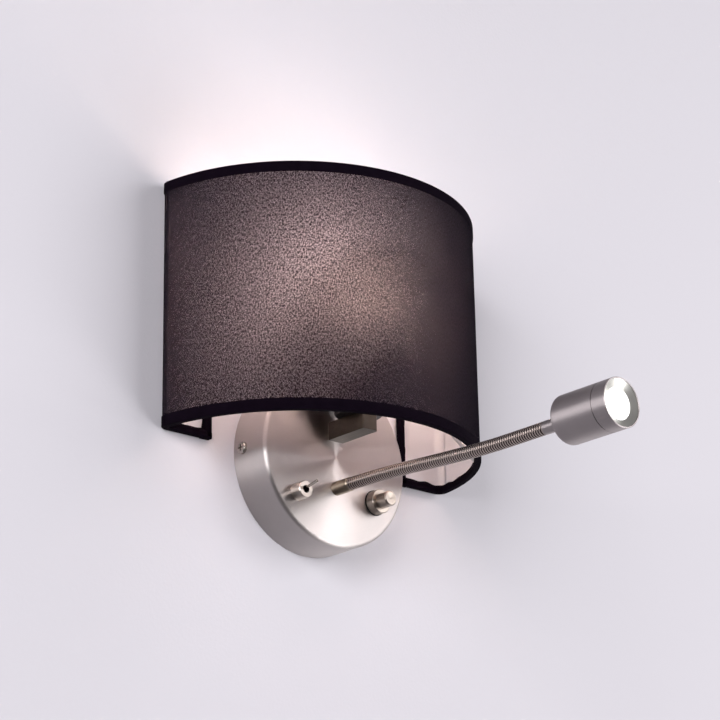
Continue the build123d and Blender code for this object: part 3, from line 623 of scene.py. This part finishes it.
# ---------------------------------------------------------------- shade
def shade_stations(step):
    """Points round the shade's face in plan from the right return's end to the left one, each with
    its outward direction and its distance along the line."""
    arc_radius = (HALF_WIDTH**2 + SHADE_DEPTH**2) / (2 * SHADE_DEPTH)
    arc_middle = arc_radius - SHADE_DEPTH - SHADE_GAP
    corner_y = -SHADE_GAP - CORNER_RADIUS
    corner_x = sqrt((arc_radius - CORNER_RADIUS) ** 2 - (corner_y - arc_middle) ** 2)
    lean = atan2(corner_x, arc_middle - corner_y)
    stations = []

    def arc(centre_x, centre_y, radius, start, end):
        count = max(8, int(abs(end - start) * radius / step))
        for i in range(count + 1):
            angle = start + (end - start) * i / count
            out = Vector((sin(angle), -cos(angle), 0))
            stations.append((Vector((centre_x, centre_y, 0)) + out * radius, out))

    run = corner_x - RETURN_END
    count = int(run / step)
    back = Vector((0, 1, 0))
    for i in range(count):
        stations.append((Vector((RETURN_END + run * i / count, -SHADE_GAP, 0)), back))
    arc(corner_x, corner_y, CORNER_RADIUS, pi, lean)
    arc(0, arc_middle, arc_radius, lean, -lean)
    arc(-corner_x, corner_y, CORNER_RADIUS, -lean, -pi)
    for i in range(1, count + 1):
        stations.append((Vector((-corner_x + run * i / count, -SHADE_GAP, 0)), back))
    travelled = 0.0
    placed = []
    for i, (point, out) in enumerate(stations):
        if i:
            travelled += (point - stations[i - 1][0]).length
        placed.append((point, out, travelled))
    return placed


def ripple(along, up):
    """Slow unevenness of glued cloth, from a few sine waves."""
    across = sin(along * 61 + up * 23)
    slanted = 0.6 * sin(along * 137 - up * 71 + 1.3)
    upright = 0.4 * sin(up * 180 + along * 29 + 0.4)
    return SHEET_RIPPLE * (across + slanted + upright) / 2


def upright_sheet(name, stations, inset, material):
    """Sheet round the shade, from the bottom wire to the top one."""
    verts, uvs = [], []
    low, high = SHADE_BOTTOM + SHEET_END_GAP, SHADE_TOP - SHEET_END_GAP
    for level in range(SHEET_LEVELS + 1):
        z = low + (high - low) * level / SHEET_LEVELS
        for point, out, along in stations:
            place = point - out * (inset + ripple(along, z))
            verts.append((place.x, place.y, z))
            uvs.append((along, z))
    outward = [face[::-1] for face in grid_faces(SHEET_LEVELS + 1, len(stations))]
    made = piece(name, verts, outward, material, uvs)
    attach(made, WALL_BODY)
    return made


def tape_section(hem):
    """Tape round an edge and its wire, as (inset, height, distance along the tape): outer leg, round
    fold, inner hem. hem is the height of the inner hem's edge."""
    t = TAPE_THICKNESS
    bend = TAPE_BEND
    points = [(-t * 0.2, TAPE_HEIGHT), (-t, TAPE_HEIGHT - 0.0004), (-t, bend)]
    for i in range(1, TAPE_BEND_STEPS + 1):
        angle = pi / 2 * i / TAPE_BEND_STEPS
        points.append((-t + bend * (1 - cos(angle)), bend - t - bend * sin(angle)))
    far = TAPE_INSET + t
    for i in range(TAPE_BEND_STEPS + 1):
        angle = pi / 2 * i / TAPE_BEND_STEPS
        points.append((far - bend * (1 - sin(angle)), -t + bend * (1 - cos(angle))))
    points.append((far, TAPE_INNER_HEIGHT))
    points.append((LINER_INSET + HEM_STEP, hem))
    points.append((LINER_INSET + HEM_LIFT, hem))
    measured = 0.0
    section = [(*points[0], measured)]
    for last, (inset, height) in zip(points, points[1:]):
        measured += sqrt((inset - last[0]) ** 2 + (height - last[1]) ** 2)
        section.append((inset, height, measured))
    return section


def finish_tape(name, verts, uvs, rows, material):
    """Tape from its points."""
    columns = len(verts) // rows
    made = piece(name, verts, grid_faces(rows, columns), material, uvs)
    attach(made, WALL_BODY)
    return made


def edge_tape(name, stations, edge, rise, wave, material):
    """Tape round the shade at an edge's height. rise is 1 for a bottom edge and -1 for a top one,
    and wave is how unevenly its inner hem was cut."""
    verts, uvs = [], []
    for point, out, along in stations:
        hem = HEM_HEIGHT + wave * waves(along, LONG_WAVES)
        for inset, height, measured in tape_section(hem):
            place = point - out * inset
            verts.append((place.x, place.y, edge + rise * height))
            uvs.append((along, measured))
    return finish_tape(name, verts, uvs, len(stations), material)


def end_tape(name, side, material):
    """Tape down the upright edge of one return. side is 1 on the right and -1 on the left."""
    verts, uvs = [], []
    low, high = SHADE_BOTTOM - TAPE_THICKNESS, SHADE_TOP + TAPE_THICKNESS
    for level in range(END_TAPE_LEVELS + 1):
        z = low + (high - low) * level / END_TAPE_LEVELS
        hem = HEM_HEIGHT + END_HEM_WAVE * waves(z, END_WAVES)
        for inset, height, measured in tape_section(hem):
            verts.append((side * (RETURN_END + height), -SHADE_GAP - inset, z))
            uvs.append((z, measured))
    return finish_tape(name, verts, uvs, END_TAPE_LEVELS + 1, material)


def make_shade():
    """Cloth, lining and tapes of the shade."""
    stations = shade_stations(SHEET_STEP)
    cloth = upright_sheet("shade_cloth", stations, CLOTH_INSET, shade_cloth())
    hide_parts("shade_fabric")
    inner = upright_sheet("shade_lining_sheet", stations, LINING_INSET, lining())
    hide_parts("shade_liner")
    tape = tape_cloth()
    top = edge_tape("tape_top", stations, SHADE_TOP, -1, TOP_HEM_WAVE, tape)
    bottom = edge_tape("tape_bottom", stations, SHADE_BOTTOM, 1, BOTTOM_HEM_WAVE, tape)
    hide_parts("shade_top_trim")
    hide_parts("shade_bottom_trim")
    ends = [end_tape("tape_end_right", 1, tape), end_tape("tape_end_left", -1, tape)]
    for made in ends:
        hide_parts("shade_end_trims")


# ---------------------------------------------------------------- flexible neck
def neck_line():
    """Centre points along the neck, close together, on a smooth curve through the frame's joints."""
    start = NECK_JOINTS[0] + Vector((0, NECK_INTO_BASE, 0))
    end = NECK_JOINTS[-1] + Vector((0, -NECK_INTO_HEAD, 0))
    stops = [start] + NECK_JOINTS + [end]
    stops = [stops[0] * 2 - stops[1]] + stops + [stops[-1] * 2 - stops[-2]]
    points = []
    for i in range(1, len(stops) - 2):
        a, b, c, d = stops[i - 1 : i + 3]
        count = max(2, round((c - b).length / (RIB_PITCH / RIB_STEPS)))
        for k in range(count):
            t = k / count
            square = 2 * a - 5 * b + 4 * c - d
            cube = 3 * b - a - 3 * c + d
            points.append(0.5 * (2 * b + (c - a) * t + square * t * t + cube * t**3))
    points.append(end)
    return points


def rib_rise(phase):
    """Height of the winding over its root, from 0 to 1, across one pitch: a wire and a gap."""
    x = (phase - floor(phase)) * 2 - 1
    return sqrt(max(0.0, 1 - abs(x) ** RIB_POWER))


def neck_steel():
    """Bright wound wire, with shade painted near black into the gaps between its turns."""
    g = Graph("neck_steel")
    part = g.add("SeparateXYZ", Vector=thread_place(g))
    rise = g.fit(part.outputs["Y"], 0.45, 0.95, 0.0, 1.0)
    fine = g.noise(g.object_place(), scale=3000.0, detail=3.0)
    surface = g.principled(
        # Painted shade: near black at the winding's root, the wire's own colour on its crests.
        Base_Color=g.blend(rise, rgb(0.006, 0.005, 0.005), rgb(0.37, 0.31, 0.28)),
        Metallic=1.0,
        Roughness=g.vary(fine, 0.20, 0.30),
        Normal=g.bump(fine, 0.000004),
    )
    return g.finish(surface)


def winding_points(line, travelled, rings):
    """Points round the neck's centre line at some of its rings, each with its place along the neck
    and its height over the winding's root."""
    verts, uvs = [], []
    for k in rings:
        ahead = (line[min(k + 1, len(line) - 1)] - line[max(k - 1, 0)]).normalized()
        side = Vector((1, 0, 0))
        top = side.cross(ahead)
        for c in range(POINTS_AROUND):
            turn = c / POINTS_AROUND
            rise = rib_rise(travelled[k] / RIB_PITCH - turn)
            radius = NECK_ROOT + (NECK_CREST - NECK_ROOT) * rise
            place = line[k] + radius * (cos(2 * pi * turn) * side + sin(2 * pi * turn) * top)
            verts.append(tuple(place))
            uvs.append((travelled[k], rise))
    return verts, uvs


def bend_across(made):
    """Bakes the place of a length of the neck into its mesh."""
    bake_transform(made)


def make_neck():
    """Wound neck in lengths, one for each joint of the frame's neck."""
    line = neck_line()
    travelled = [0.0]
    for a, b in zip(line, line[1:]):
        travelled.append(travelled[-1] + (b - a).length)
    middles = [(a + b) / 2 for a, b in zip(NECK_JOINTS, NECK_JOINTS[1:])]
    nearest = [min(range(len(line)), key=lambda k: (line[k] - m).length) for m in middles]
    cuts = [0] + nearest + [len(line) - 1]
    material = neck_steel()
    for index in range(len(NECK_JOINTS)):
        rings = range(cuts[index], cuts[index + 1] + 1)
        verts, uvs = winding_points(line, travelled, rings)
        faces = grid_faces(len(rings), POINTS_AROUND, closed=True)
        made = piece(f"neck_winding_{index + 1}", verts, faces, material, uvs)
        bend_across(made)
        if index:
            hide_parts(f"neck_segment_{index}")


# ---------------------------------------------------------------- wall, lights and camera
def make_wall():
    """Room wall behind the lamp, seen from the room only."""
    corners = ((-1, -1), (1, -1), (1, 1), (-1, 1))
    verts = [(x * WALL_HALF, WALL_FACE, z * WALL_HALF) for x, z in corners]
    wall = piece("room_wall", verts, [(0, 1, 2, 3)], wall_paint(), smooth=False)


def turned_to(direction):
    """Rotation of a light that shines in a direction."""
    return Vector(direction).to_track_quat("-Z", "Y").to_euler()


def area_light(name, place, target, width, height, power, colour):
    """Soft box at a place, turned to a target."""
    light = bpy.data.lights.new(name, "AREA")
    light.shape = "RECTANGLE"
    light.size = width
    light.size_y = height
    light.energy = power
    light.color = colour
    made = link(bpy.data.objects.new(name, light))
    made.location = place
    made.rotation_euler = turned_to(Vector(target) - Vector(place))


def small_light(name, kind, place, power, colour):
    """Light as small as the bulb's filament."""
    light = bpy.data.lights.new(name, kind)
    light.energy = power
    light.color = colour
    light.shadow_soft_size = FILAMENT_RADIUS
    made = link(bpy.data.objects.new(name, light))
    made.location = place
    return made


def make_lights():
    """Soft boxes, the bulb's light and the room's own light. The beam stands for the part of the
    bulb's light that shows through the cloth: it is between the bulb and the wall."""
    for box in SOFT_BOXES:
        area_light(*box)
    bulb_place = (0, middle_of("bulb_globe")[1], FILAMENT_HEIGHT)
    small_light("bulb_light", "POINT", bulb_place, BULB_POWER, BULB_COLOUR)
    beam = small_light("bulb_beam", "SPOT", BEAM_PLACE, BEAM_POWER, BEAM_COLOUR)
    beam.data.spot_size = BEAM_ANGLE
    beam.data.spot_blend = BEAM_BLEND
    beam.rotation_euler = turned_to(BEAM_DIRECTION)
    world = bpy.data.worlds.new("room")
    world.use_nodes = True
    back = world.node_tree.nodes["Background"]
    back.inputs["Color"].default_value = rgb(*ROOM_COLOUR)
    back.inputs["Strength"].default_value = ROOM_STRENGTH
    bpy.context.scene.world = world


def make_camera():
    """Camera at the photo's place and angle."""
    level = cos(CAMERA_PITCH)
    forward = Vector((sin(CAMERA_YAW) * level, cos(CAMERA_YAW) * level, sin(CAMERA_PITCH)))
    right = Vector((cos(CAMERA_YAW), -sin(CAMERA_YAW), 0))
    up = right.cross(forward)
    rolled_right = right * cos(CAMERA_ROLL) + up * sin(CAMERA_ROLL)
    rolled_up = up * cos(CAMERA_ROLL) - right * sin(CAMERA_ROLL)
    data = bpy.data.cameras.new("camera")
    data.sensor_width = CAMERA_SENSOR
    data.lens = CAMERA_LENS
    camera = link(bpy.data.objects.new("camera", data))
    turn = Matrix((rolled_right, rolled_up, -forward)).transposed().to_4x4()
    camera.matrix_world = Matrix.Translation(CAMERA_PLACE) @ turn
    bpy.context.scene.camera = camera


dress_turned_metals()
dress_other_metals()
dress_moulded_pieces()
dress_lit_pieces()
make_shade()
make_neck()
make_wall()
make_lights()
make_camera()
bpy.context.scene.view_settings.view_transform = "Standard"
